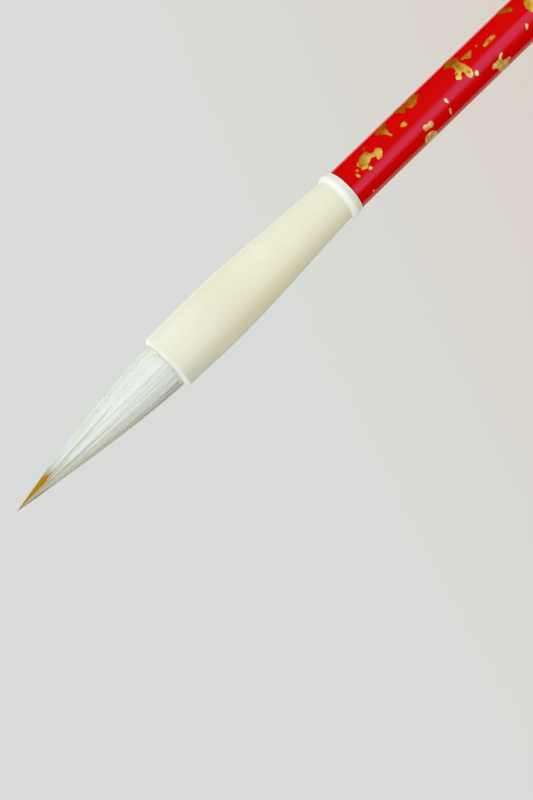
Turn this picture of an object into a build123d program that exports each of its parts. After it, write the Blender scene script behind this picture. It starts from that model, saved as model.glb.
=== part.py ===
from build123d import *
import os

# A writing brush, hung with its point down from the cross hole in its tail cap.
# The origin is the middle of that hole. +Z runs up the handle, and X runs along the hole.
# Lengths are in millimetres. r is a distance from the brush's axis.

# driving dimensions
overall_length = 280.0
hair_length = 41.7  # from the ferrule's mouth to the tip
hair_radius = 5.2  # at the mouth
ferrule_length = 49.0
handle_radius = 4.92
cord_hole_radius = 1.0

# ferrule
lip_radius = 6.4
lip_height = 0.9  # the lip rises outwards, from the socket's edge at the mouth
lip_fullness = 0.12
lip_flare = 0.01  # outward slope of the side above the lip
bulge_radius = 6.63
bulge_height = 13.5  # above the mouth
waist_radius = 6.03
waist_height = 29.3
neck_slope = 0.05  # inward slope of the side at the neck
neck_radius = 4.8
socket_radius = 5.4  # at the mouth
socket_end_radius = 4.9
socket_depth = 14.0

# tenons and plugs in the handle's bore
bore_radius = 3.1
plug_radius = 3.0
tenon_reach = 11.0  # into the handle

# collar ring
collar_length = 2.9
collar_front_radius = 4.84
bead_radius = 5.43
bead_length = 2.1
shoulder_radius = 5.1
collar_back_radius = 4.97

# tail
tail_ring_length = 1.6
cap_radius = 4.55
cap_above_hole = 4.5
cap_below_hole = 6.0
cap_rounding = 3.4
cap_plug_length = 9.0
end_rounding = 0.3

# tuft, with every distance along it measured from the tip
taper_power = 1.4
cover_start = 6.0  # the white hair stops here, so the brown point shows
lining_start = 24.0
layer_gap = 0.05
root_depth = 13.0  # of hair inside the ferrule
seal_thickness = 0.8
glue_depth = 8.6
glue_bead_height = 0.3

# binding thread
thread_radius = 0.15
thread_ring_radius = 4.5
thread_turns = 8
thread_pitch = 0.36
thread_depth = 9.6  # of the first turn, inside the ferrule

# bending zones: how far below the mouth each zone turns
hinge_drops = {"belly": 5.0, "waist": 14.0, "shoulder": 23.0, "point": 31.0}
dome_share = 1.085  # dome radius over the tuft's radius at the hinge
zone_gap = 0.3

# levels along the axis, worked out from the lengths above
tail_ring_top = -cap_below_hole
handle_top = tail_ring_top - tail_ring_length
tip = cap_above_hole - overall_length
mouth = tip + hair_length
ferrule_top = mouth + ferrule_length
handle_base = ferrule_top + collar_length
socket_taper = (socket_radius - socket_end_radius) / socket_depth


def at(radius, height):
    return Vector(radius, 0, height)


def turned(*edges):
    """The solid swept by a closed outline of edges, turned round the Z axis."""
    return revolve(make_face(edges), Axis.Z)


def turned_corners(*corners):
    """The same, for an outline of straight lines through (radius, height) corners."""
    return turned(Polyline(*[at(*corner) for corner in corners], close=True))


def rod(radius, low, high):
    return turned_corners((0, low), (radius, low), (radius, high), (0, high))


def tube(inner, outer, low, high):
    return turned_corners((inner, low), (outer, low), (outer, high), (inner, high))


def ends_rounded(shape, size, *heights):
    """Rounds the outer edge of a turned shape at each of the given heights."""
    rims = [max(shape.edges().filter_by(lambda e, z=z: abs(e.center().Z - z) < 0.01),
                key=lambda e: e.length) for z in heights]
    return fillet(rims, size)


# handle, ferrule, rings and tail cap


def handle_tube():
    wall = tube(bore_radius, handle_radius, handle_base, handle_top)
    return ends_rounded(wall, end_rounding, handle_top)


def ferrule():
    lip_middle = at((socket_radius + lip_radius + lip_fullness) / 2,
                    mouth + (lip_height - lip_fullness) / 2)
    lip = ThreePointArc(at(socket_radius, mouth), lip_middle, at(lip_radius, mouth + lip_height))
    side = Spline(at(lip_radius, mouth + lip_height), at(bulge_radius, mouth + bulge_height),
                  at(waist_radius, mouth + waist_height), at(neck_radius, ferrule_top),
                  tangents=[at(lip_flare, 1), at(-neck_slope, 1)])
    back = Polyline(at(neck_radius, ferrule_top), at(plug_radius, ferrule_top),
                    at(plug_radius, handle_base + tenon_reach), at(0, handle_base + tenon_reach),
                    at(0, mouth + socket_depth), at(socket_end_radius, mouth + socket_depth),
                    at(socket_radius, mouth))
    return turned(lip, side, back)


def collar_ring():
    bead_back = ferrule_top + bead_length
    bead = ThreePointArc(at(collar_front_radius, ferrule_top),
                         at(bead_radius, ferrule_top + bead_length / 2),
                         at(shoulder_radius, bead_back))
    rest = Polyline(at(shoulder_radius, bead_back), at(collar_back_radius, handle_base),
                    at(plug_radius, handle_base), at(plug_radius, ferrule_top),
                    at(collar_front_radius, ferrule_top))
    return turned(bead, rest)


def tenon_glue():
    return tube(plug_radius, bore_radius, handle_base, handle_base + tenon_reach)


def tail_ring():
    ring = tube(plug_radius, handle_radius, handle_top, tail_ring_top)
    return ends_rounded(ring, end_rounding, handle_top, tail_ring_top)


def tail_cap():
    cap = rod(cap_radius, tail_ring_top, cap_above_hole)
    cap = ends_rounded(cap, cap_rounding, cap_above_hole)
    plug = rod(plug_radius, handle_top - cap_plug_length, tail_ring_top)
    cord_hole = Rot(0, 90, 0) * Cylinder(cord_hole_radius, 4 * cap_radius)
    return cap + plug - cord_hole


def cap_glue():
    return tube(plug_radius, bore_radius, handle_top - cap_plug_length, handle_top)


# what holds the tuft in the ferrule


def root_radius(depth):
    """The hair's radius inside the ferrule, which narrows as the socket does."""
    return hair_radius - socket_taper * depth


def tuft_glue():
    """A film round the root, ending in a bead that shows between hair and lip."""
    film_top = mouth + glue_depth
    return turned_corners((hair_radius, mouth - glue_bead_height),
                          (socket_radius, mouth),
                          (socket_radius - socket_taper * glue_depth, film_top),
                          (root_radius(glue_depth), film_top),
                          (hair_radius, mouth))


def root_seal():
    seal_base = mouth + root_depth
    return rod(root_radius(root_depth), seal_base, seal_base + seal_thickness)


def binding_thread():
    first = mouth + thread_depth
    turns = [Pos(0, 0, first + n * thread_pitch) * Torus(thread_ring_radius, thread_radius)
             for n in range(thread_turns)]
    return Compound(turns)


# layers of hair, each a full solid before it is cut into zones


def tuft_radius(from_tip):
    return hair_radius * (1 - (1 - from_tip / hair_length) ** taper_power)


def bundle(stations, grow):
    """A turned bundle of hair through (from_tip, radius) stations, grown outward by a gap."""
    side = Spline(*[at(radius + grow, tip + from_tip) for from_tip, radius in stations])
    top = stations[-1][1] + grow
    root = mouth + root_depth
    back = Polyline(at(top, mouth), at(top - socket_taper * root_depth, root), at(0, root),
                    at(0, tip + stations[0][0]), side @ 0)
    return turned(side, back)


def core_bundle(grow=0.0):
    stations = [(0.0, 0.08), (2.0, 0.48), (6.0, 0.85), (18.0, 1.35), (hair_length, 2.0)]
    return bundle(stations, grow)


def lining_bundle(grow=0.0):
    stations = [(lining_start, 1.7), (30.0, 2.9), (36.0, 3.4), (hair_length, 3.6)]
    return bundle(stations, grow)


def cover_bundle():
    belly = [10.0, 18.0, 26.0, 34.0]
    stations = [(x, tuft_radius(x)) for x in [cover_start] + belly + [hair_length]]
    thread_room = tube(thread_ring_radius - thread_radius, 2 * hair_radius,
                       mouth + thread_depth - thread_pitch,
                       mouth + thread_depth + thread_turns * thread_pitch)
    return bundle(stations, 0.0) - thread_room


def hair_layers():
    """The three layers, nested with a small gap so that none overlaps the next."""
    core = core_bundle()
    lining = lining_bundle() - core_bundle(layer_gap)
    cover = cover_bundle() - lining_bundle(layer_gap) - core_bundle(layer_gap)
    return {"core": core, "lining": lining, "cover": cover}


# zones of the tuft, each turning about the middle of its domed top


def dome(zone, grow):
    """Everything on the tip's side of a zone's domed top, grown outward by a gap."""
    drop = hinge_drops[zone]
    centre = mouth - drop
    radius = dome_share * tuft_radius(hair_length - drop) + grow
    ball = Pos(0, 0, centre) * Sphere(radius)
    return ball + rod(2 * hair_radius, tip - 5.0, centre)


def zone_solid(layer, zone, next_zone):
    """The stretch of a layer between its own dome and the next zone's hollow."""
    piece = layer
    if zone != "root":
        piece = piece & dome(zone, 0.0)
    if next_zone:
        piece = piece - dome(next_zone, zone_gap)
    return piece


def tuft_nodes():
    zones = ["root"] + list(hinge_drops)
    layer_zones = {"core": zones, "lining": zones[:3], "cover": zones}
    nodes = {}
    for name, layer in hair_layers().items():
        for zone in layer_zones[name]:
            following = zones[zones.index(zone) + 1:]
            next_zone = following[0] if following else None
            nodes[f"{name}_hair_{zone}"] = zone_solid(layer, zone, next_zone)
    return nodes


def main():
    os.makedirs("parts", exist_ok=True)
    makers = [handle_tube, ferrule, collar_ring, tenon_glue, tail_ring, tail_cap, cap_glue,
              tuft_glue, root_seal, binding_thread]
    nodes = {maker.__name__: maker() for maker in makers}
    nodes.update(tuft_nodes())
    for name, shape in nodes.items():
        export_step(shape, f"parts/{name}.step")


main()
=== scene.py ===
import math

import bpy
import numpy as np
from mathutils import Matrix, Vector
from mathutils.geometry import delaunay_2d_cdt

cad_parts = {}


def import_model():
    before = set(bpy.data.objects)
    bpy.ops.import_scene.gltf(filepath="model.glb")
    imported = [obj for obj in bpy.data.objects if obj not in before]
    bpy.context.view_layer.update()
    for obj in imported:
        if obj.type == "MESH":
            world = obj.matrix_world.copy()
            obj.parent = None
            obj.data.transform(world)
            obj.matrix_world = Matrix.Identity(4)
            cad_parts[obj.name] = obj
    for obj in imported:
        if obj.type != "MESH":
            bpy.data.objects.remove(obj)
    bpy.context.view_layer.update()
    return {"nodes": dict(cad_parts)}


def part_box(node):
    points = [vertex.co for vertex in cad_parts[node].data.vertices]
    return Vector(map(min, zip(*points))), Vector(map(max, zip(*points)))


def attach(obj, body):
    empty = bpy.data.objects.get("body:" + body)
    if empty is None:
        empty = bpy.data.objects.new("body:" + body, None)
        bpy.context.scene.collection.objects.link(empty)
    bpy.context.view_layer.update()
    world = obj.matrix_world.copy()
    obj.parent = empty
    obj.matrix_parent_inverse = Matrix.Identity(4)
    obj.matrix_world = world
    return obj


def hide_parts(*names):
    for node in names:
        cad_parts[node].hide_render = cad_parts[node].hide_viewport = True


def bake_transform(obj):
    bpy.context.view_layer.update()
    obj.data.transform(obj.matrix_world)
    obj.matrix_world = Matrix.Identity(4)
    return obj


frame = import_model()

# A writing brush that hangs point down. The frame is in metres, so sizes below are in MM.
# Round the brush, angles run from the front (-Y) towards +X.
MM = 0.001

# places and sizes taken from the frame
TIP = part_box("core_hair_point")[0].z
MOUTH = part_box("ferrule")[0].z
HAIR_LENGTH = MOUTH - TIP
HAIR_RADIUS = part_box("cover_hair_root")[1].x
HANDLE_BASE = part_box("handle_tube")[0].z
HANDLE_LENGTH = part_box("handle_tube")[1].z - HANDLE_BASE
HANDLE_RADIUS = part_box("handle_tube")[1].x

# camera: a long lens that looks square at the ferrule, from slightly below it
LENS = 81.0
CAMERA_DISTANCE = 0.3656
AIM_ABOVE_MOUTH = 9.7 * MM  # the point of the axis that the framing is set by
AIM_LEFT = 13.60 * MM  # how far that point stands left of the picture's middle
AIM_UP = 13.82 * MM
LOOK_UP = math.radians(7.9)
ROLL = math.radians(45.55)

# hair
COVER_HAIRS = 1700
CORE_HAIRS = 300
LOCKS = 64
TAPER_POWER = 1.45
TIP_LEAN = 0.45 * MM  # the dried point has set a little towards +X
TIP_REACH = 0.7 * MM  # the longest hairs end this far past the bundle's own point
HAIR_ROOT = 1.0 * MM  # how far up inside the ferrule the surface hairs start
BED_ROOT = 12.9 * MM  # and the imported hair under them
SOCKET_TAPER = 0.036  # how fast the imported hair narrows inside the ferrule
TILT = 0.35  # how far the hairs at the sides of a lock face away from its middle
LOCK_POINT = 12  # mm over which a lock narrows to its point
HAIR_POINT = 9 * MM  # the length over which a hair thins to its end
LOCK_WAVE = 9 * MM  # along the tuft, for the sideways wave of a lock
HAIR_WAVE = 6 * MM  # for the wave of a single hair in it
LIFT_WAVE = 7 * MM  # and for how that hair rises and sinks
NO_GATHER = -100.0  # for hairs that don't narrow with their lock
NO_LIMIT = 1000.0  # for hairs that stay on the tuft's surface
FIRST_SHADED, LAST_SHADED = 53, 125  # degrees round, between which the locks are greyer as painted shade

# zones of the tuft
CUTS = [0.0, 9.5, 18.5, 27.0, 35.0]  # mm below the mouth: where each zone begins
ZONES = ["belly", "waist", "shoulder", "point"]

# gold flecks, in mm on the handle's surface
GIRTH = 2 * math.pi * HANDLE_RADIUS / MM
LEAF_LIFT = 0.02 * MM  # above the lacquer, and as deep below it
TEAR_STEP = 0.22  # between the points of a torn edge
FILL_STEP = 0.35  # between the points inside a fleck
FLECK_SIZES = [2.0, 1.3, 0.42]  # of the scattered flecks
FLECK_COUNTS = [26, 34, 60]
FLECK_GAP = 0.6  # the least gap between scattered flecks
FLECK_REACH = 1.15  # how far the longest corner of one reaches, as a share of its size
DRAWN_HEIGHT = 57.5  # the drawn flecks lie below this height above the collar
DRAWN_AROUND = 7.7  # and less than this far round from the front

random = np.random.default_rng(11)


# ---------------------------------------------------------------- materials


def material(name, colour, roughness, **sockets):
    """A Principled material with plain values on its own sockets."""
    made = bpy.data.materials.new(name)
    made.use_nodes = True
    shader = made.node_tree.nodes["Principled BSDF"]
    shader.inputs["Base Color"].default_value = (*colour, 1)
    shader.inputs["Roughness"].default_value = roughness
    for socket, value in sockets.items():
        shader.inputs[socket.replace("_", " ")].default_value = value
    return made


def add_node(made, kind, **settings):
    """A shader node whose settings are values of its sockets or of the node itself."""
    node = made.node_tree.nodes.new(kind)
    for name, value in settings.items():
        if name in node.inputs:
            node.inputs[name].default_value = value
        else:
            setattr(node, name, value)
    return node


def join(made, source, target):
    made.node_tree.links.new(source, target)


def noise(made, scale, detail=3.0, stretch=(1, 1, 1)):
    """Noise over the object's own place in the frame, stretched along any axis."""
    place = add_node(made, "ShaderNodeTexCoord")
    spread = add_node(made, "ShaderNodeMapping")
    spread.inputs["Scale"].default_value = stretch
    pattern = add_node(made, "ShaderNodeTexNoise", Scale=scale, Detail=detail)
    join(made, place.outputs["Object"], spread.inputs["Vector"])
    join(made, spread.outputs["Vector"], pattern.inputs["Vector"])
    return pattern.outputs["Fac"]


def ramp(made, factor, *stops):
    """Colours (position, (r, g, b)) picked by a factor."""
    node = add_node(made, "ShaderNodeValToRGB")
    elements = node.color_ramp.elements
    while len(elements) < len(stops):
        elements.new(0.5)
    for element, (position, colour) in zip(elements, stops):
        element.position = position
        element.color = (*colour, 1)
    join(made, factor, node.inputs["Fac"])
    return node.outputs["Color"]


def share_along(made, axis, low, high):
    """0 before one place along an axis of the frame and 1 after another, changing evenly."""
    place = add_node(made, "ShaderNodeTexCoord")
    parts = add_node(made, "ShaderNodeSeparateXYZ")
    share = add_node(made, "ShaderNodeMapRange")
    share.inputs["From Min"].default_value = low
    share.inputs["From Max"].default_value = high
    join(made, place.outputs["Object"], parts.inputs["Vector"])
    join(made, parts.outputs[axis], share.inputs["Value"])
    return share.outputs["Result"]


def two_tones(made, factor, dark, light):
    """A gentle change between two colours."""
    return ramp(made, factor, (0.3, dark), (0.7, light))


def mix(made, factor, first, second):
    """One colour below and another above, as a factor goes from 0 to 1."""
    node = add_node(made, "ShaderNodeMixRGB")
    join(made, factor, node.inputs["Fac"])
    join(made, first, node.inputs["Color1"])
    join(made, second, node.inputs["Color2"])
    return node.outputs["Color"]


def spread_value(made, factor, low, high):
    """A plain value between low and high, as a factor goes from 0 to 1."""
    node = add_node(made, "ShaderNodeMapRange")
    node.inputs["To Min"].default_value = low
    node.inputs["To Max"].default_value = high
    join(made, factor, node.inputs["Value"])
    return node.outputs["Result"]


def bump(made, height, depth):
    """Small relief. depth is the height of the pattern in metres."""
    node = add_node(made, "ShaderNodeBump", Strength=1.0, Distance=depth)
    join(made, height, node.inputs["Height"])
    join(made, node.outputs["Normal"], made.node_tree.nodes["Principled BSDF"].inputs["Normal"])


def drive(made, socket, output):
    """Feeds a socket of the material's shader."""
    join(made, output, made.node_tree.nodes["Principled BSDF"].inputs[socket])


def red_lacquer():
    """Red under a clear coat, with a painted shadow: a little darker where it meets the collar."""
    made = material("red_lacquer", (0.61, 0.0, 0.0), 0.2, Specular_IOR_Level=0.0,
                    Coat_Weight=0.7, Coat_Roughness=0.08)
    clouds = noise(made, 260, 4, (1, 1, 0.25))
    red = two_tones(made, clouds, (0.58, 0.0, 0.0), (0.64, 0.001, 0.001))
    # painted shadow: darker red along the collar's edge
    dark = two_tones(made, clouds, (0.22, 0.0, 0.0), (0.26, 0.001, 0.001))
    past_collar_shadow = share_along(made, "Z", HANDLE_BASE, HANDLE_BASE + 0.45 * MM)
    drive(made, "Base Color", mix(made, past_collar_shadow, dark, red))
    drive(made, "Roughness", spread_value(made, noise(made, 900), 0.16, 0.3))
    bump(made, noise(made, 1500, 2, (1, 1, 0.3)), 0.004 * MM)
    return made


def gold_leaf():
    """Leaf with red in its cracks. Its colour round the handle is painted light: painted shade in
    brown on the brush's left, then pale, a painted highlight in cream, and painted shade in tan on
    the right.
    """
    made = material("gold_leaf", (0.76, 0.48, 0.08), 0.4, Metallic=0.2, Specular_IOR_Level=0.0)
    cracks = noise(made, 700, 6)
    crack = (0.31, (0.56, 0.01, 0.0))
    brown = ramp(made, cracks, (0.34, (0.50, 0.01, 0.0)), (0.38, (0.34, 0.055, 0.0)),
                 (0.66, (0.44, 0.12, 0.0)))
    pale = ramp(made, cracks, crack, (0.35, (0.64, 0.34, 0.02)),
                (0.48, (0.81, 0.53, 0.06)), (0.64, (0.93, 0.72, 0.16)))
    cream = ramp(made, cracks, crack, (0.35, (0.72, 0.44, 0.10)),
                 (0.48, (0.90, 0.72, 0.30)), (0.64, (0.98, 0.86, 0.45)))
    shaded_tan = ramp(made, cracks, crack, (0.35, (0.58, 0.26, 0.03)),
               (0.48, (0.62, 0.34, 0.08)), (0.64, (0.80, 0.58, 0.24)))
    # painted light by place round the handle: shade on the left, a highlight past the middle,
    # shade on the right
    leaving_left_shade = share_along(made, "X", -0.7 * HANDLE_RADIUS, 0.05 * HANDLE_RADIUS)
    into_highlight = share_along(made, "X", 0.02 * HANDLE_RADIUS, 0.2 * HANDLE_RADIUS)
    shade_to_right = share_along(made, "X", 0.35 * HANDLE_RADIUS, 0.6 * HANDLE_RADIUS)
    left_half = mix(made, into_highlight, mix(made, leaving_left_shade, brown, pale), cream)
    drive(made, "Base Color", mix(made, shade_to_right, left_half, shaded_tan))
    drive(made, "Roughness", spread_value(made, noise(made, 2600), 0.3, 0.48))
    bump(made, noise(made, 3000, 4), 0.012 * MM)
    return made


def cream_plastic():
    """Cream moulding, yellower up the ferrule, with painted shade on its right and a painted
    highlight in white along its lip.
    """
    made = material("cream_plastic", (0.81, 0.78, 0.58), 0.34, Specular_IOR_Level=0.3,
                    Subsurface_Weight=0.15, Subsurface_Scale=0.002)
    patches = noise(made, 70, 3)
    low = two_tones(made, patches, (0.80, 0.775, 0.59), (0.84, 0.81, 0.62))
    # painted shade: duller cream for the ferrule's right side
    shaded_low = two_tones(made, patches, (0.70, 0.69, 0.52), (0.73, 0.72, 0.55))
    high = two_tones(made, patches, (0.77, 0.74, 0.53), (0.81, 0.775, 0.56))
    shaded_high = two_tones(made, patches, (0.73, 0.67, 0.455), (0.77, 0.705, 0.48))
    # painted highlight: a white lip along the ferrule's mouth
    lip_highlight = two_tones(made, noise(made, 500, 3), (0.95, 0.94, 0.85), (1.00, 0.99, 0.90))
    up = share_along(made, "Z", MOUTH + 2 * MM, MOUTH + 16 * MM)
    above_lip = share_along(made, "Z", MOUTH + 0.5 * MM, MOUTH + 1.1 * MM)
    # painted shade towards the ferrule's right
    shade_to_right = share_along(made, "X", 1.5 * MM, 5 * MM)
    cream = mix(made, shade_to_right, mix(made, up, low, high), mix(made, up, shaded_low, shaded_high))
    drive(made, "Base Color", mix(made, above_lip, lip_highlight, cream))
    drive(made, "Roughness", spread_value(made, noise(made, 700), 0.3, 0.42))
    bump(made, noise(made, 1200, 3), 0.006 * MM)
    return made


def white_plastic():
    """White moulding. The collar's sloping back is painted a little greyer than its bead, as
    painted shade.
    """
    made = material("white_plastic", (0.93, 0.90, 0.80), 0.36, Specular_IOR_Level=0.25,
                    Subsurface_Weight=0.1, Subsurface_Scale=0.001)
    patches = noise(made, 160, 3)
    bead = two_tones(made, patches, (0.94, 0.93, 0.79), (0.98, 0.97, 0.83))
    shaded_slope = two_tones(made, patches, (0.70, 0.68, 0.55), (0.76, 0.74, 0.61))
    collar_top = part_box("collar_ring")[1].z
    on_shaded_slope = share_along(made, "Z", collar_top - 2.0 * MM, collar_top - 1.2 * MM)
    drive(made, "Base Color", mix(made, on_shaded_slope, bead, shaded_slope))
    drive(made, "Roughness", spread_value(made, noise(made, 900), 0.3, 0.42))
    bump(made, noise(made, 1400, 2), 0.004 * MM)
    return made


def aged_glue():
    made = material("aged_glue", (0.86, 0.83, 0.50), 0.3, Subsurface_Weight=0.3,
                    Subsurface_Scale=0.0006)
    clouds = noise(made, 420, 4)
    drive(made, "Base Color", ramp(made, clouds, (0.32, (0.60, 0.55, 0.22)),
                                   (0.48, (0.88, 0.85, 0.54)), (0.65, (0.96, 0.95, 0.72))))
    drive(made, "Roughness", spread_value(made, noise(made, 1500), 0.22, 0.5))
    bump(made, noise(made, 2200, 3), 0.03 * MM)
    return made


def thread():
    made = material("thread", (0.80, 0.76, 0.64), 0.8)
    fibres = noise(made, 2500, 4, (1, 1, 3))
    drive(made, "Base Color", two_tones(made, fibres, (0.62, 0.56, 0.42), (0.84, 0.80, 0.68)))
    bump(made, noise(made, 5000, 3), 0.03 * MM)
    return made


def rosin():
    made = material("rosin", (0.25, 0.10, 0.02), 0.35)
    clouds = noise(made, 500, 4)
    drive(made, "Base Color", two_tones(made, clouds, (0.16, 0.06, 0.01), (0.36, 0.17, 0.04)))
    drive(made, "Roughness", spread_value(made, noise(made, 900), 0.25, 0.5))
    return made


def hair(name, colour, roughness=0.5):
    """One shade of hair, with more sheen the whiter it is. Its gloss changes along each hair."""
    made = material(name, colour, roughness, Specular_IOR_Level=0.1 + 0.25 * colour[2],
                    Sheen_Weight=0.65 * colour[2], Sheen_Roughness=0.4)
    low, high = roughness - 0.12, roughness + 0.12
    drive(made, "Roughness", spread_value(made, noise(made, 700, 3, (1, 1, 0.2)), low, high))
    return made


def hair_bed(name, dark, light):
    """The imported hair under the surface, streaked along the brush."""
    made = material(name, light, 0.7, Specular_IOR_Level=0.1)
    streaks = noise(made, 1500, 4, (1, 1, 0.03))
    drive(made, "Base Color", ramp(made, streaks, (0.35, dark), (0.65, light)))
    bump(made, streaks, 0.05 * MM)
    return made


# Three whites, and then the shades that have names below. Olive, moss, dark and dusk hairs are
# painted shade.
WHITE_SHADES = [(0.83, 0.85, 0.75), (0.77, 0.79, 0.69), (0.89, 0.90, 0.82), (0.66, 0.67, 0.57),
                (0.71, 0.73, 0.61), (0.78, 0.71, 0.50), (0.56, 0.50, 0.28), (0.58, 0.59, 0.48),
                (0.28, 0.13, 0.05), (0.40, 0.39, 0.34)]
GREY, OLIVE, BEIGE, KHAKI, MOSS, DARK, DUSK = 3, 4, 5, 6, 7, 8, 9
BROWN_SHADES = [(0.48, 0.25, 0.0), (0.42, 0.20, 0.0), (0.56, 0.32, 0.01), (0.30, 0.13, 0.005)]

# How often each of the first shades is picked: for a lock, a white hair and a brown hair.
LOCK_SHARES = [0.52, 0.30, 0.14, 0.04]
HAIR_SHARES = [0.28, 0.32, 0.24, 0.16]
BROWN_SHARES = [0.45, 0.3, 0.22, 0.03]
SHADED_LOCK_SHARES = {OLIVE: 0.6, GREY: 0.3, MOSS: 0.1}  # for a lock greyed as painted shade
OWN_SHADE = 0.45  # share of the white hairs that don't take their lock's shade

white_hairs = [hair(f"white_hair_{n}", c) for n, c in enumerate(WHITE_SHADES)]
brown_hairs = [hair(f"brown_hair_{n}", c, 0.4) for n, c in enumerate(BROWN_SHADES)]


def dress(node, made):
    """Gives a CAD node its Blender material."""
    slots = frame["nodes"][node].data.materials
    slots.clear()
    slots.append(made)


def dress_cad_nodes(glue):
    red, cream, white = red_lacquer(), cream_plastic(), white_plastic()
    cotton, resin = thread(), rosin()
    looks = {"handle_tube": red, "ferrule": cream, "tail_cap": cream, "collar_ring": white,
             "tail_ring": white, "tenon_glue": glue, "cap_glue": glue, "binding_thread": cotton,
             "root_seal": resin}
    for node, made in looks.items():
        dress(node, made)


# ---------------------------------------------------------------- meshes


def make_object(name, points, faces, materials, face_materials=None, smooth=True):
    """A mesh object in the scene. face_materials picks one of its materials for each face."""
    mesh = bpy.data.meshes.new(name)
    mesh.from_pydata(points, [], faces)
    for made in materials:
        mesh.materials.append(made)
    if face_materials is not None:
        mesh.polygons.foreach_set("material_index", face_materials)
    mesh.polygons.foreach_set("use_smooth", [smooth] * len(mesh.polygons))
    mesh.update()
    made_object = bpy.data.objects.new(name, mesh)
    bpy.context.scene.collection.objects.link(made_object)
    return made_object


def mark_rims(piece, sides, rings):
    """Makes the edges round both ends of each tube sharp, so that its wall shades evenly."""
    mesh = piece.data
    ends = np.empty(2 * len(mesh.edges), int)
    mesh.edges.foreach_get("vertices", ends)
    ring = ends.reshape(-1, 2) // sides
    sharp = (ring[:, 0] == ring[:, 1]) & np.isin(ring[:, 0] % rings, (0, rings - 1))
    mesh.attributes.new("sharp_edge", "BOOLEAN", "EDGE").data.foreach_set("value", sharp)
    return piece


def on_tube(radius, angle, height):
    """A point round the brush's axis, or arrays of them."""
    return np.stack([radius * np.sin(angle), -radius * np.cos(angle),
                     height + 0 * radius * angle], axis=-1)


def wall_faces(spans, rings, steps):
    """Four-sided faces that join each ring of points to the following one, span by span."""
    faces = []
    for ring in range(spans):
        for step in range(steps):
            following = (step + 1) % steps
            a, b = ring * steps, (ring + 1) % rings * steps
            faces.append((a + step, a + following, b + following, b + step))
    return faces


def loft(rings):
    """Points and faces of a tube through rings[ring][step], with both ends capped."""
    count, steps = rings.shape[:2]
    points = [tuple(p) for p in rings.reshape(-1, 3)]
    faces = wall_faces(count - 1, count, steps)
    faces.append(tuple(range(steps - 1, -1, -1)))
    faces.append(tuple(range((count - 1) * steps, count * steps)))
    return points, faces


def ring_solid(name, rings, made):
    """A closed ring whose section's corners are rings[corner][step]."""
    count, steps = rings.shape[:2]
    points = [tuple(p) for p in rings.reshape(-1, 3)]
    return make_object(name, points, wall_faces(count, count, steps), [made])


# ---------------------------------------------------------------- hair


def tuft_radius(from_tip):
    """The tuft's outer radius at distances from the tip, in metres."""
    inside = np.clip(from_tip / HAIR_LENGTH, 0, 1)
    return HAIR_RADIUS * (1 - (1 - inside) ** TAPER_POWER)


def tuft_centre(from_tip):
    """How far the middle of the tuft stands off the brush's axis towards +X."""
    return TIP_LEAN * np.clip(1 - from_tip / HAIR_LENGTH, 0, 1) ** 2


def in_tuft(radius, angle, from_tip):
    points = on_tube(radius, angle, TIP + from_tip)
    points[..., 0] += tuft_centre(from_tip)
    return points


LOCK_WIDTH = 2 * math.pi / LOCKS
lock_turn = LOCK_WIDTH * (np.arange(LOCKS) + random.uniform(-0.3, 0.3, LOCKS))
lock_degrees = np.degrees(lock_turn)
lock_depth = random.uniform(0, 0.025, LOCKS)
lock_sway = random.normal(0, 0.035, LOCKS)
lock_phase = random.uniform(0, 2 * math.pi, LOCKS)


def away_from(degrees, centre):
    """Degrees round the brush from a centre, -180 to 180."""
    return (degrees - centre + 180) % 360 - 180


# The white locks stop short of the point on its bare side, front left: at these angles in
# degrees, they end at these distances from the tip in mm.
BARE_ANGLES = [-140, -100, -45, -5, 12]
BARE_ENDS = [2.6, 6.5, 8.8, 8.2, 2.6]
lock_end = np.interp(away_from(lock_degrees, 0), BARE_ANGLES, BARE_ENDS)
lock_end = lock_end + random.normal(0, 0.5, LOCKS)


def lock_shades():
    """A shade for every lock, with painted shade greying those on the brush's right."""
    white = random.choice(len(LOCK_SHARES), LOCKS, p=LOCK_SHARES)
    grey = random.choice(list(SHADED_LOCK_SHARES), LOCKS, p=list(SHADED_LOCK_SHARES.values()))
    return np.where((lock_degrees > FIRST_SHADED) & (lock_degrees < LAST_SHADED), grey, white)


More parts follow.
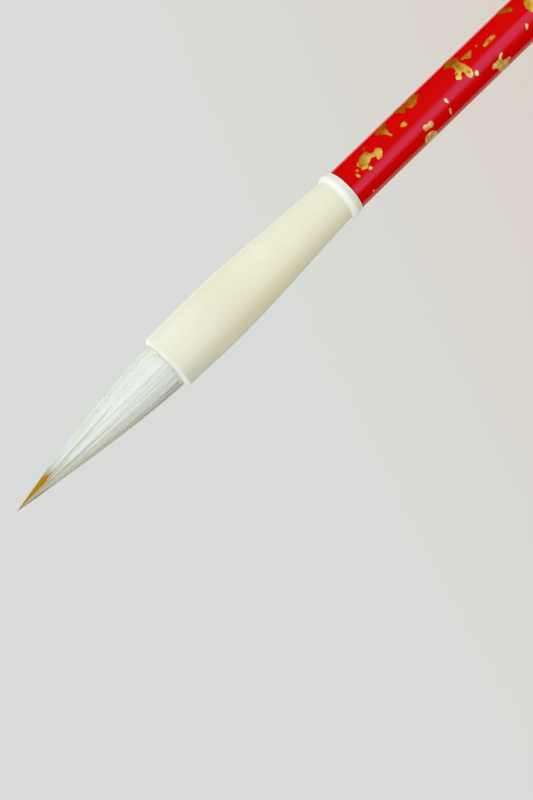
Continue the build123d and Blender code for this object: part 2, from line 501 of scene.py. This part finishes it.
class Hairs:
    """Hairs as arrays with one value each.

    lock is the lock it lies in, and across its place in that lock, about -1 to 1. share is its
    share of the tuft's radius, and limit the radius that it never leaves. gather is where its
    lock comes to a point, and end where the hair ends, both in mm from the tip. width is half
    its width in mm, and shade its material, or -1 for the shade of its lock.
    """

    def __init__(self, lock, **fields):
        count = len(lock)
        for name, values in fields.items():
            setattr(self, name, values + np.zeros(count, np.asarray(values).dtype))
        self.lock = lock
        self.sway = random.normal(0, 0.006, count)
        self.lift = random.normal(0, 0.002, count)
        self.phase = random.uniform(0, 2 * math.pi, count)

    def pick(self, kept):
        """The same hairs, but only the kept ones, with one row each."""
        part = object.__new__(Hairs)
        for field, values in self.__dict__.items():
            setattr(part, field, values[kept][:, None])
        return part

    def path(self, from_tip):
        """Each hair's radius and angle at [hair, ring] distances from the tip."""
        narrowing = np.clip((from_tip / MM - self.gather) / LOCK_POINT, 0.04, 1) ** 0.5
        wave = lock_sway[self.lock] * np.sin(from_tip / LOCK_WAVE + lock_phase[self.lock])
        own_wave = self.sway * np.sin(from_tip / HAIR_WAVE + self.phase)
        angle = lock_turn[self.lock] + self.across * LOCK_WIDTH * narrowing + wave + own_wave
        share = self.share + self.lift * np.sin(from_tip / LIFT_WAVE + self.phase)
        limit = self.limit * MM
        return limit * np.tanh(tuft_radius(from_tip) * share / limit), angle

    def stretch(self, name, start, stop, rings, materials, shades):
        """One mesh of every hair between two distances from the tip.

        Those that end less than 0.3 mm below its start are left out. The hairs are thinner the
        lower they are in the tuft, and each thins to its own end.
        """
        part = self.pick(np.flatnonzero(self.end * MM < start - 0.3 * MM))
        low = np.maximum(part.end * MM, stop)
        from_tip = start + (low - start) * np.linspace(0, 1, rings)
        point = np.clip((from_tip - part.end * MM) / HAIR_POINT, 0, 1) ** 0.6
        crowding = 0.35 + 0.65 * tuft_radius(from_tip) / HAIR_RADIUS
        width = part.width * MM * crowding * (0.15 + 0.85 * point)
        radius, angle = part.path(from_tip)
        centre = in_tuft(radius, angle, from_tip)
        facing = angle + TILT * part.across
        shade = np.where(part.shade < 0, shades[part.lock], part.shade)[:, 0]
        return strands(name, centre, width, facing, shade, materials)


def strands(name, centre, width, facing, shade, materials):
    """Thin closed wedges along centre[hair, ring], each with its flat side outwards."""
    count, rings = centre.shape[:2]
    outward = on_tube(1, facing, 0)
    sideways = on_tube(1, facing + math.pi / 2, 0)
    offsets = np.stack([-sideways, sideways, -outward], axis=2)
    points = centre[:, :, None, :] + width[:, :, None, None] * offsets
    index = np.arange(count * rings * 3).reshape(count, rings, 3)
    following = np.roll(index, -1, axis=2)
    walls = np.stack([index[:, :-1], following[:, :-1], following[:, 1:], index[:, 1:]], axis=-1)
    walls = walls[..., ::-1].reshape(-1, 4).tolist()
    ends = index[:, 0].tolist() + index[:, -1, ::-1].tolist()
    wall_shades = np.repeat(shade, (rings - 1) * 3)
    face_shades = np.concatenate([wall_shades, shade, shade])
    return make_object(name, points.reshape(-1, 3).tolist(), walls + ends, materials, face_shades,
                       smooth=False)


def locks_between(start, end, count):
    """Random locks whose angles, in degrees from the front, lie between two values."""
    allowed = np.flatnonzero((lock_degrees - start) % 360 < (end - start) % 360)
    return random.choice(allowed, count)


def cover_hairs(count):
    """White hair laid round the tuft in locks. It ends all along the taper, as real hair does.

    Those that would end near the tip end at their lock's point instead.
    """
    lock = random.integers(0, LOCKS, count)
    across = random.normal(0, 0.42, count)
    share = 0.995 - lock_depth[lock] - 0.02 * across ** 2 - np.abs(random.normal(0, 0.008, count))
    room = random.uniform(0, 1, count)  # the share of the full radius at which a hair ends
    taper_end = HAIR_LENGTH / MM * (1 - (1 - room) ** (1 / TAPER_POWER))
    point_end = lock_end[lock] + 2 * np.abs(across) + random.exponential(0.9, count)
    end = np.clip(np.where(room < 0.3, point_end, taper_end), 0.3, 38)
    own = random.choice(len(HAIR_SHARES), count, p=HAIR_SHARES)
    return Hairs(lock, across=across, share=share, end=np.maximum(end, lock_end[lock]),
                 gather=lock_end[lock], width=random.uniform(0.07, 0.12, count),
                 shade=np.where(random.uniform(0, 1, count) < OWN_SHADE, own, -1),
                 limit=NO_LIMIT)


def core_hairs(count):
    """Stiff brown hair that makes the point, and stays in the tuft's middle further up."""
    return Hairs(random.integers(0, LOCKS, count), across=random.uniform(-0.5, 0.5, count),
                 share=np.clip(0.985 - random.exponential(0.04, count), 0.1, 1),
                 end=np.abs(random.normal(0.6, 1.1, count)), gather=NO_GATHER,
                 width=random.uniform(0.1, 0.15, count),
                 shade=random.choice(len(BROWN_SHADES), count, p=BROWN_SHARES), limit=4.5)


def side_hairs(start, end, count, shade, limit, tip, spread=0.9, raised=0.0):
    """Coloured hairs between two angles, in degrees. They end from tip mm upwards.

    A limit makes them dive under the surface where the tuft grows wider than it. raised is how
    far they stand off the surface, as a share of its radius.
    """
    limit = limit * random.uniform(0.75, 1.35, count)
    return Hairs(locks_between(start, end, count), across=random.uniform(-0.5, 0.5, count),
                 share=raised + random.uniform(0.99, 1.012, count),
                 end=tip + random.exponential(spread, count), gather=NO_GATHER,
                 width=random.uniform(0.07, 0.11, count), shade=shade, limit=limit)


def stray_hairs(count):
    """Loose hairs that stand a little off the tuft."""
    return Hairs(random.integers(0, LOCKS, count), across=random.uniform(-0.5, 0.5, count),
                 share=random.uniform(1.0, 1.05, count), end=random.uniform(9, 30, count),
                 gather=NO_GATHER, width=random.uniform(0.03, 0.05, count), shade=0,
                 limit=NO_LIMIT)


def together(groups):
    """Several groups of hairs as one."""
    whole = object.__new__(Hairs)
    for field in groups[0].__dict__:
        setattr(whole, field, np.concatenate([getattr(group, field) for group in groups]))
    return whole


def loose_hairs():
    """The tuft's stray, coloured and longest hairs.

    Most of the coloured ones paint shade on the right side, from the dark edge beside the point to
    the grey edge below the ferrule. A few streak the left front above the bare point; the mossy
    ones there paint shade in a groove.
    """
    return together([
        stray_hairs(70),
        side_hairs(2, 64, 90, KHAKI, limit=4.8, tip=1.0),
        side_hairs(12, 86, 190, KHAKI, limit=8.0, tip=1.8, spread=3.5),
        side_hairs(-70, 0, 40, KHAKI, limit=6.0, tip=9.5, spread=2.0),
        # painted shade: olive hairs grey the right side
        side_hairs(30, 86, 230, OLIVE, limit=18.0, tip=3.0, spread=6.0),
        # painted shade in the groove left of the front, above the bare point
        side_hairs(-22, -11, 9, MOSS, limit=9.0, tip=9.5, spread=2.0, raised=0.02),
        # painted shade: the dark edge right of the point
        side_hairs(54, 100, 120, DARK, limit=4.5, tip=0.6, spread=0.9, raised=0.02),
        # painted shade between the locks on the right
        side_hairs(24, 92, 90, MOSS, limit=9.5, tip=3.0, spread=4.0, raised=0.01),
        # painted shade on the right edge, up to the ferrule
        side_hairs(72, 108, 60, MOSS, limit=60.0, tip=4.0, spread=8.0),
        side_hairs(25, 110, 9, KHAKI, limit=6.0, tip=-TIP_REACH / MM),
        # painted shade: dusky hairs on the right edge by the ferrule's mouth
        side_hairs(58, 68, 4, DUSK, limit=NO_LIMIT, tip=34.5),
        side_hairs(40, 90, 60, KHAKI, limit=11.0, tip=5.0, spread=5.0),
        side_hairs(-60, -26, 18, BEIGE, limit=11.0, tip=14.0, spread=6.0, raised=0.01),
        side_hairs(38, 78, 80, KHAKI, limit=14.0, tip=3.0, spread=5.0),
    ])


def bed(name, start, stop, made, share):
    """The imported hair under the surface, with ridges along it, from start down to stop."""
    steps, rings = 192, 14
    angle = np.arange(steps) * 2 * math.pi / steps
    ridges = np.random.default_rng(5).normal(0, 1, steps)
    ridges = (ridges + np.roll(ridges, 1)) / 2
    from_tip = np.linspace(start, stop, rings)[:, None]
    radius = tuft_radius(from_tip) * (share + 0.012 * ridges[None, :])
    radius = radius + np.clip(HAIR_LENGTH - from_tip, None, 0) * SOCKET_TAPER
    piece = make_object(name, *loft(in_tuft(radius, angle[None, :], from_tip)), [made])
    return mark_rims(piece, steps, rings)


def bend(piece):
    """Fixes a piece of hair's transform into its mesh."""
    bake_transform(piece)


def hair_stretches():
    """The hair of each zone, in place of the zone's imported hair."""
    cover, core, loose = cover_hairs(COVER_HAIRS), core_hairs(CORE_HAIRS), loose_hairs()
    white_bed = hair_bed("white_hair_bed", (0.70, 0.70, 0.58), (0.88, 0.89, 0.80))
    brown_bed = hair_bed("brown_hair_bed", (0.44, 0.22, 0.0), (0.58, 0.31, 0.01))
    shades = lock_shades()
    for n, zone in enumerate(ZONES):
        last = zone == "point"
        start = HAIR_LENGTH - CUTS[n] * MM
        stop = -TIP_REACH if last else HAIR_LENGTH - CUTS[n + 1] * MM
        if zone == "belly":
            start += HAIR_ROOT
        rings = 12 if last else 6
        main = cover.stretch(f"cover_hairs_{zone}", start, stop, rings, white_hairs, shades)
        nodes = [f"cover_hair_{zone}"]
        if zone == "belly":
            nodes.append("cover_hair_root")
        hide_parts(*nodes)
        extra = loose.stretch(f"loose_hairs_{zone}", start, stop, rings, white_hairs, shades)
        pieces = [main, extra]
        if zone in ("shoulder", "point"):
            brown = core.stretch(f"core_hairs_{zone}", start, stop, rings, brown_hairs, shades)
            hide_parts(f"core_hair_{zone}")
            pieces.append(brown)
        pieces.append(bed_piece(zone, start, stop, brown_bed if last else white_bed))
        for piece in pieces:
            bend(piece)


def bed_piece(zone, start, stop, made):
    """One zone's packed hair, which also stands for the inner layers that it hides."""
    if zone == "point":
        piece = bed("hair_bed_point", start, 1.5 * MM, made, 0.72)
        return piece
    if zone == "belly":
        start = HAIR_LENGTH + BED_ROOT
    piece = bed(f"hair_bed_{zone}", start, stop, made, 0.94)
    if zone == "belly":
        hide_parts("lining_hair_root", "core_hair_root", "lining_hair_belly",
                    "core_hair_belly")
    if zone == "waist":
        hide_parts("lining_hair_waist", "core_hair_waist")
    return piece


# ---------------------------------------------------------------- glue line


def bump_at(angle, centre, width):
    """A smooth hump round the brush, 1 at centre, which is in degrees like the width."""
    return np.exp(-(away_from(np.degrees(angle), centre) / width) ** 2)


# Where the glue has crept down the hair: how far in mm, and its middle and width in degrees.
CREEPS = [(0.8, 68, 14), (0.5, -34, 9), (0.4, -72, 12), (0.5, 160, 15)]


def glue_line(made):
    """The uneven bead of glue where the hair leaves the ferrule."""
    steps = 240
    angle = np.arange(steps) * 2 * math.pi / steps
    waves = sum(np.sin(k * angle + k * k) / k for k in range(2, 12))
    creep = 0.16 + 0.06 * waves
    for reach, centre, width in CREEPS:
        creep = creep + reach * bump_at(angle, centre, width)
    creep = np.clip(creep, 0.06, None) * MM
    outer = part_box("tuft_glue")[1].x
    film_top = MOUTH + 2.0 * MM
    section = [(HAIR_RADIUS - 0.25 * MM, film_top), (HAIR_RADIUS + 0.07 * MM, film_top),
               (HAIR_RADIUS + 0.13 * MM, MOUTH), (outer, MOUTH), (outer - 0.1 * MM, MOUTH)]
    rings = [on_tube(r + 0 * angle, angle, z + 0 * angle) for r, z in section]
    for share, drop in ((0.7, 0.35), (0.35, 0.8), (0.05, 1.0), (-0.5, 0.9)):
        radius = HAIR_RADIUS + share * (outer - HAIR_RADIUS) - 0.1 * MM * drop
        rings.append(on_tube(radius + 0 * angle, angle, MOUTH - drop * creep))
    bead = ring_solid("glue_line", np.array(rings), made)
    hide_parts("tuft_glue")
    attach(bead, "brush_body")


# ---------------------------------------------------------------- gold flecks


# Outlines as (height above the collar, distance round from the front), in mm, drawn one by one.
FLECKS = [
    [(4.1, -1.8), (4.7, -2.25), (5.4, -2.35), (5.8, -2.85), (7.7, -3.0), (8.0, -2.5), (8.05, -1.6),
     (8.9, -1.5), (9.6, -1.85), (10.5, -1.15), (10.1, -0.2), (9.4, 0.25), (8.6, 0.55), (8.15, 0.1),
     (8.6, -0.4), (8.1, -0.8), (7.6, -0.95), (7.0, -0.7), (6.3, -0.5), (5.8, -0.1), (5.5, 0.1),
     (4.9, -0.15), (4.3, -0.4), (4.5, -1.1)],
    [(12.0, -4.1), (12.1, -4.8), (13.5, -4.9), (14.6, -5.4), (14.9, -6.15), (15.7, -6.05),
     (15.5, -4.7), (14.7, -3.9), (14.2, -2.9), (14.05, -2.1), (14.2, -1.2), (13.75, -1.3),
     (13.55, -2.0), (13.0, -2.9), (12.5, -3.5)],
    [(18.5, -5.2), (18.7, -6.15), (20.1, -6.2), (20.6, -5.3), (21.8, -5.3), (22.6, -6.1),
     (24.1, -6.1), (24.2, -4.6), (24.6, -3.9), (24.0, -3.7), (23.2, -3.3), (22.7, -2.75),
     (21.4, -2.7), (20.9, -2.9), (20.7, -4.1), (20.3, -4.2), (20.1, -3.6), (19.8, -3.05),
     (19.4, -3.2), (19.0, -4.0)],
    [(19.8, 2.2), (20.1, 1.8), (20.7, 1.85), (21.2, 2.2), (21.7, 2.05), (22.3, 2.1), (22.4, 2.7),
     (22.2, 3.3), (21.7, 3.5), (21.1, 3.25), (20.3, 3.2), (19.9, 2.9)],
    [(18.9, 4.8), (19.3, 4.1), (20.2, 3.95), (21.2, 4.1), (22.0, 4.8), (22.3, 5.8), (22.2, 6.8),
     (20.8, 7.3), (19.3, 6.8), (18.9, 5.8)],
    [(33.0, -6.2), (33.2, -5.2), (32.9, -4.6), (32.1, -4.3), (32.0, -3.9), (32.8, -3.7),
     (33.4, -3.2), (33.7, -2.6), (33.5, -2.0), (33.0, -1.65), (32.6, -1.35), (33.3, -1.15),
     (33.1, -0.95), (32.3, -0.85), (31.95, -0.4), (32.2, 0.05), (32.8, 0.35), (33.3, 0.0),
     (33.5, -0.55), (34.0, -0.75), (34.4, -0.5), (34.3, 0.1), (34.2, 0.9), (34.6, 1.5),
     (35.1, 1.75), (35.6, 1.3), (35.9, 0.3), (35.8, -0.6), (35.6, -1.6), (35.35, -2.7),
     (35.6, -3.3), (36.0, -3.8), (36.2, -4.2), (35.7, -4.6), (35.1, -4.8), (35.0, -6.15)],
    [(35.75, 1.6), (36.1, 1.0), (36.5, 1.1), (36.75, 1.5), (36.5, 2.1), (36.1, 2.3), (35.7, 2.0)],
    [(35.7, -2.8), (36.4, -3.05), (38.3, -3.0), (39.0, -2.95), (38.75, -2.45), (38.1, -2.0),
     (37.6, -1.5), (37.1, -1.8), (36.7, -2.3)],
    [(41.2, -1.25), (41.6, -1.75), (42.3, -1.95), (44.4, -1.95), (44.8, -1.3), (44.6, -1.1),
     (41.4, -1.08)],
    [(39.6, 3.3), (39.9, 2.9), (40.6, 2.8), (41.8, 3.0), (42.2, 2.4), (42.7, 2.15), (43.4, 2.1),
     (43.2, 2.6), (42.5, 3.1), (42.4, 3.8), (43.2, 4.1), (44.2, 4.3), (44.7, 4.8), (44.3, 5.1),
     (43.6, 5.2), (43.4, 6.6), (41.4, 6.8), (41.1, 5.2), (40.5, 4.0), (39.8, 3.8)],
    [(49.1, -4.9), (49.2, -6.1), (50.9, -6.15), (51.2, -4.9), (51.8, -3.7), (51.6, -3.0),
     (51.2, -2.6), (50.8, -2.9), (50.3, -3.7)],
    [(53.5, -1.0), (54.2, -2.4), (55.6, -2.9), (56.2, -1.2), (55.2, 0.4), (54.0, 0.7),
     (53.7, 0.0)],
]
# Small flecks as (height, distance round, half length, half width, tilt in degrees).
DOTS = [(3.55, -1.05, 0.3, 0.28, 0), (2.95, -0.15, 0.52, 0.3, 60), (5.9, 0.45, 0.42, 0.4, 0),
        (8.1, -3.8, 0.34, 0.3, 0), (3.7, 4.9, 0.26, 0.3, 0), (17.35, -1.25, 0.76, 0.5, 12),
        (27.4, 1.35, 0.62, 0.38, 85), (26.9, 3.8, 0.85, 0.26, 105), (40.4, -2.65, 0.26, 0.24, 0),
        (51.05, 1.9, 0.62, 0.34, 120)]


def torn(outline, raggedness=0.06):
    """The outline of a torn scrap of leaf: corners cut once, then short ragged steps."""
    corners = np.array(outline, float)
    following = np.roll(corners, -1, axis=0)
    cut = np.stack([0.75 * corners + 0.25 * following, 0.25 * corners + 0.75 * following], axis=1)
    cut = cut.reshape(-1, 2)
    points = []
    for start, end in zip(cut, np.roll(cut, -1, axis=0)):
        steps = max(1, round(math.dist(start, end) / TEAR_STEP))
        points += [start + (end - start) * n / steps for n in range(steps)]
    points = np.array(points)
    return points + random.normal(0, raggedness, points.shape)


def oval(height, around, half_length, half_width, tilt):
    """The outline of a small fleck, a little off a true oval."""
    turn = np.linspace(0, 2 * math.pi, 14, endpoint=False)
    wobble = 1 + 0.12 * np.sin(3 * turn + height) + 0.08 * np.sin(2 * turn + around)
    along, across = half_length * wobble * np.cos(turn), half_width * wobble * np.sin(turn)
    c, s = math.cos(math.radians(tilt)), math.sin(math.radians(tilt))
    return np.stack([height + c * along - s * across, around + s * along + c * across], axis=-1)


def scrap(size):
    """A random torn outline about (0, 0)."""
    corners = random.integers(6, 12)
    turn = np.sort((np.arange(corners) + random.uniform(-0.35, 0.35, corners)) / corners)
    turn = turn * 2 * math.pi
    reach = size * random.uniform(0.45, FLECK_REACH, corners)
    aspect = random.uniform(0.45, 1.0)
    tilt = random.uniform(0, math.pi)
    along, across = reach * np.cos(turn), aspect * reach * np.sin(turn)
    c, s = math.cos(tilt), math.sin(tilt)
    return np.stack([c * along - s * across, s * along + c * across], axis=-1)


def is_free(height, around, size, placed):
    """True where a fleck keeps clear of the drawn ones and of those already placed."""
    if height < DRAWN_HEIGHT and abs(around) < DRAWN_AROUND + FLECK_REACH * size:
        return False
    for other_height, other_around, other_size in placed:
        apart = (around - other_around + GIRTH / 2) % GIRTH - GIRTH / 2
        if math.hypot(height - other_height, apart) - size - other_size <= FLECK_GAP:
            return False
    return True


def scattered_flecks():
    """Torn flecks over the rest of the handle. One that finds no room is left out."""
    margin, tries = 1.5, 40
    placed = []
    outlines = []
    for size in np.repeat(FLECK_SIZES, FLECK_COUNTS):
        for _ in range(tries):
            height = random.uniform(margin, HANDLE_LENGTH / MM - margin)
            around = random.uniform(-GIRTH / 2, GIRTH / 2)
            if is_free(height, around, size, placed):
                placed.append((height, around, size))
                outlines.append(torn(scrap(size) + (height, around)))
                break
    return outlines


def patch(outline):
    """An outline laid on the handle: its points above and below the lacquer, and its faces."""
    low, high = outline.min(0), outline.max(0)
    heights = np.arange(low[0], high[0], FILL_STEP)
    arounds = np.arange(low[1], high[1], FILL_STEP)
    inner = [(h, a) for h in heights for a in arounds if inside((h, a), outline)]
    seeds = [Vector(p) for p in outline] + [Vector(p) for p in inner]
    count = len(outline)
    edges = [(n, (n + 1) % count) for n in range(count)]
    flat, _, faces, *_ = delaunay_2d_cdt(seeds, edges, [], 1, 1e-5)
    flat = np.array([tuple(p) for p in flat])
    angle = flat[:, 1] * MM / HANDLE_RADIUS
    height = HANDLE_BASE + flat[:, 0] * MM
    top = on_tube(HANDLE_RADIUS + LEAF_LIFT + 0 * angle, angle, height)
    under = on_tube(HANDLE_RADIUS - LEAF_LIFT + 0 * angle, angle, height)
    return top, under, [tuple(f) for f in faces]


def inside(point, outline, margin=0.12):
    """True for a point well inside an outline."""
    x, y = point
    following = np.roll(outline, -1, axis=0)
    crosses = (outline[:, 1] > y) != (following[:, 1] > y)
    run = following[:, 1] - outline[:, 1]
    rise = (y - outline[:, 1]) * (following[:, 0] - outline[:, 0])
    at_x = outline[:, 0] + rise / np.where(run == 0, 1, run)
    odd = np.count_nonzero(crosses & (x < at_x)) % 2 == 1
    return odd and np.hypot(outline[:, 0] - x, outline[:, 1] - y).min() > margin


def gold_flecks():
    """All the flecks as one piece, each a thin closed scrap on the handle."""
    outlines = [torn(outline) for outline in FLECKS] + [oval(*dot) for dot in DOTS]
    outlines += scattered_flecks()
    points, faces = [], []
    for outline in outlines:
        top, under, cover = patch(outline)
        base, count = len(points), len(top)
        points += top.tolist() + under.tolist()
        faces += [tuple(base + i for i in face) for face in cover]
        faces += [tuple(base + count + i for i in reversed(face)) for face in cover]
        faces += [(base + a, base + b, base + count + b, base + count + a) for b, a in rim(cover)]
    piece = make_object("gold_flecks", points, faces, [gold_leaf()])
    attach(piece, "brush_body")


def rim(faces):
    """The edges that only one face uses, in that face's direction."""
    edges = {(face[n - 1], face[n]) for face in faces for n in range(len(face))}
    return [(a, b) for a, b in sorted(edges) if (b, a) not in edges]


# ---------------------------------------------------------------- stage, light and camera


def way(azimuth, elevation):
    """The direction that points away from the brush at two angles in degrees."""
    a, e = math.radians(azimuth), math.radians(elevation)
    return Vector((math.sin(a) * math.cos(e), -math.cos(a) * math.cos(e), math.sin(e)))


def surround(tree, direction, low_colour, high_colour, low=-1.0, high=1.0):
    """Light from all round whose colour changes evenly towards a direction."""
    place = tree.nodes.new("ShaderNodeTexCoord")
    along = tree.nodes.new("ShaderNodeVectorMath")
    share = tree.nodes.new("ShaderNodeMapRange")
    blend = tree.nodes.new("ShaderNodeMixRGB")
    light = tree.nodes.new("ShaderNodeBackground")
    along.operation = "DOT_PRODUCT"
    along.inputs[1].default_value = direction
    share.inputs["From Min"].default_value = low
    share.inputs["From Max"].default_value = high
    blend.inputs["Color1"].default_value = (*low_colour, 1)
    blend.inputs["Color2"].default_value = (*high_colour, 1)
    tree.links.new(place.outputs["Generated"], along.inputs[0])
    tree.links.new(along.outputs["Value"], share.inputs["Value"])
    tree.links.new(share.outputs["Result"], blend.inputs["Fac"])
    tree.links.new(blend.outputs["Color"], light.inputs["Color"])
    return light


def world():
    """A plain pale backdrop, pinker to the upper right, and soft light stronger from the left."""
    made = bpy.data.worlds.new("studio")
    bpy.context.scene.world = made
    made.use_nodes = True
    made.cycles_visibility.glossy = False
    tree = made.node_tree
    grey, pink = (0.693, 0.713, 0.686), (0.71, 0.645, 0.585)
    dim, bright = (0.24, 0.13, 0.0), (1.52, 1.62, 1.81)
    backdrop = surround(tree, way(90, 72), grey, pink, 0.165, 0.34)
    soft = surround(tree, way(-41, 0), dim, bright)
    by_camera = tree.nodes.new("ShaderNodeMixShader")
    path = tree.nodes.new("ShaderNodeLightPath")
    tree.links.new(path.outputs["Is Camera Ray"], by_camera.inputs["Fac"])
    tree.links.new(soft.outputs[0], by_camera.inputs[1])
    tree.links.new(backdrop.outputs[0], by_camera.inputs[2])
    tree.links.new(by_camera.outputs[0], tree.nodes["World Output"].inputs["Surface"])


def floor():
    made = material("pale_floor", (0.90, 0.92, 0.89), 0.9)
    size, low = 8.0, -1.3
    corners = [(-size, -size, low), (size, -size, low), (size, size, low), (-size, size, low)]
    make_object("floor", corners, [(0, 1, 2, 3)], [made], smooth=False)


def softbox(name, azimuth, elevation, width, height, power, colour, turn=0.0):
    """A panel one metre away that only gloss shows, and that faces the ferrule."""
    data = bpy.data.lights.new(name, "AREA")
    data.shape = "RECTANGLE"
    data.size = width
    data.size_y = height
    data.energy = power
    data.color = colour
    lamp = bpy.data.objects.new(name, data)
    bpy.context.scene.collection.objects.link(lamp)
    direction = way(azimuth, elevation)
    lamp.location = Vector((0, 0, MOUTH)) + direction
    facing = direction.to_track_quat("Z", "Y").to_matrix()
    lamp.rotation_euler = (facing @ Matrix.Rotation(math.radians(turn), 3, "Z")).to_euler()
    lamp.visible_diffuse = False


def lights():
    """The panels that show in gloss: the band down the handle, its two rims and the table."""
    softbox("window", 33, 20, 0.25, 1.6, 1.75, (0.6, 0.45, 1.0), 63)
    softbox("curtain", 34, 20, 0.41, 1.7, 1.70, (0.6, 0.45, 1.0), 63)
    softbox("wall", 202, 0, 0.85, 3.0, 9.2, (1.0, 0.98, 0.94))
    softbox("far_wall", 150, 0, 1.15, 3.0, 7.0, (0.4, 1.0, 0.93))
    softbox("table", 0, -75, 2.0, 2.0, 6.0, (1.0, 1.0, 1.0))


def camera():
    """The photographer's camera, rolled so that the brush lies across the picture."""
    data = bpy.data.cameras.new("camera")
    data.lens = LENS
    data.sensor_width = 36.0
    made = bpy.data.objects.new("camera", data)
    bpy.context.scene.collection.objects.link(made)
    back = Vector((0, -math.cos(LOOK_UP), -math.sin(LOOK_UP)))
    level = Vector((1, 0, 0))
    rise = back.cross(level)
    right = math.cos(ROLL) * level + math.sin(ROLL) * rise
    up = back.cross(right)
    aim = Vector((0, 0, MOUTH + AIM_ABOVE_MOUTH))
    made.matrix_world = Matrix.Translation(
        aim + AIM_LEFT * right - AIM_UP * up + CAMERA_DISTANCE * back
    ) @ Matrix((right, up, back)).transposed().to_4x4()
    data.clip_start = 0.01
    bpy.context.scene.camera = made


bpy.context.scene.view_settings.view_transform = "Standard"
camera()
world()
floor()
lights()
glue = aged_glue()
dress_cad_nodes(glue)
hair_stretches()
glue_line(glue)
gold_flecks()
